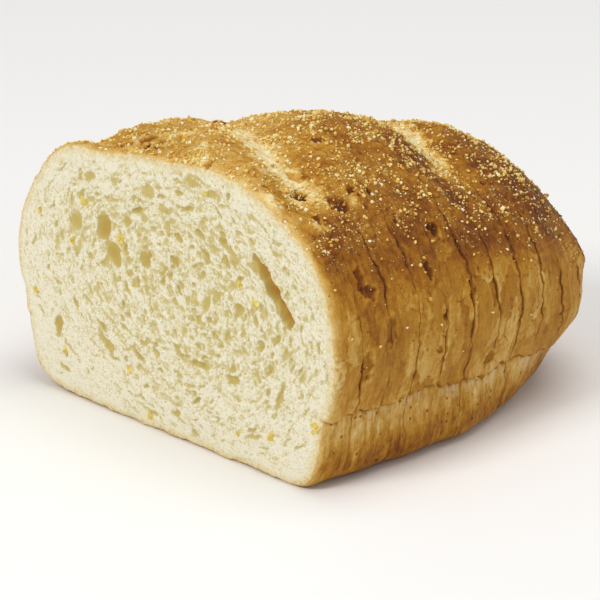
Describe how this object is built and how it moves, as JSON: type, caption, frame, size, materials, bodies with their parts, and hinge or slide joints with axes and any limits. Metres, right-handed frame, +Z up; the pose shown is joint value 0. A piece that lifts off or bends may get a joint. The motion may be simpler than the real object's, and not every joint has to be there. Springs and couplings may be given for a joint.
{
  "type": "bread loaf",
  "caption": "Hearth-baked loaf, cut across at one end and sliced, with its slices still standing together and cornmeal grits on its scored crown.",
  "frame": {"origin": "on the surface that the loaf rests on, under the middle of its bounding box", "axes": "+X across the loaf, +Y from the cut end towards the rounded heel, +Z up"},
  "size_m": [0.149, 0.148, 0.0968],
  "materials": {
    "crust": "matte",
    "crumb": "matte",
    "cornmeal": "matte"
  },
  "bodies": {
    "root": {"slice_01": "crust", "slice_02": "crust", "slice_03": "crust", "slice_04": "crust", "slice_05": "crust", "slice_06": "crust", "slice_07": "crust", "slice_08": "crust", "slice_09": "crust", "slice_10": "crust", "slice_11": "crust", "heel": "crust"}
  },
  "joints": []
}
